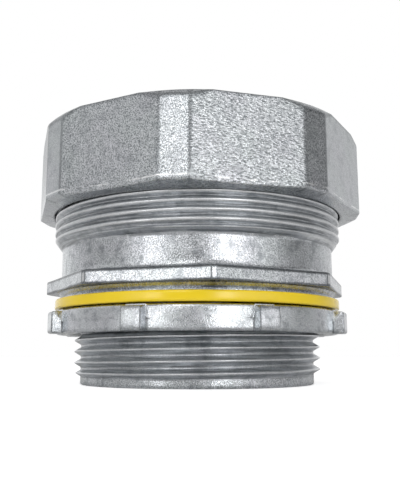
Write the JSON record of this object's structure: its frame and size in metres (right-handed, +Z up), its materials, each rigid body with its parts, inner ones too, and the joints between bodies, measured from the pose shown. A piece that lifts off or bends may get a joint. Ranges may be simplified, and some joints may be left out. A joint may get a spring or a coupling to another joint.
{
  "type": "liquidtight conduit connector",
  "caption": "Straight liquidtight conduit connector with an octagonal gland nut, flanged threaded body, yellow sealing gasket and lugged locknut.",
  "frame": {"origin": "centre of the hub end, on the surface that the connector stands on", "axes": "+Z up the connector's axis and out of the conduit entry, -Y towards the side that the picture shows"},
  "size_m": [0.099, 0.099, 0.0732],
  "materials": {
    "zinc_casting": "zinc plated, grainy as cast, smoother on the threads",
    "nylon": "natural moulded nylon",
    "plated_steel": "bright zinc plated sheet",
    "yellow_gasket": "smooth and glossy"
  },
  "bodies": {
    "body": {"body": "zinc_casting", "ferrule": "plated_steel"},
    "seal": {"compression_ring": "nylon"},
    "nut": {"gland_nut": "zinc_casting"},
    "gasket": {"sealing_gasket": "yellow_gasket"},
    "locknut": {"locknut": "zinc_casting"}
  },
  "joints": [
    {"name": "nut_slide", "type": "slide", "parent": "body", "child": "seal", "axis": [0, 0, 1], "range_m": [-0.0072, 0.0072]},
    {"name": "nut_turn", "type": "hinge", "parent": "seal", "child": "nut", "pos_m": [0, 0, 0.06], "axis": [0, 0, 1], "range_deg": [-1080, 1080]},
    {"name": "locknut_slide", "type": "slide", "parent": "body", "child": "gasket", "axis": [0, 0, 1], "range_m": [-0.0127, 0]},
    {"name": "locknut_turn", "type": "hinge", "parent": "gasket", "child": "locknut", "pos_m": [0, 0, 0.0176], "axis": [0, 0, 1], "range_deg": [-1440, 0]}
  ],
  "couplings": [
    {"joint": "nut_slide", "follows": "nut_turn", "m_per_rad": 0.0003819},
    {"joint": "locknut_slide", "follows": "locknut_turn", "m_per_rad": 0.0005053}
  ]
}
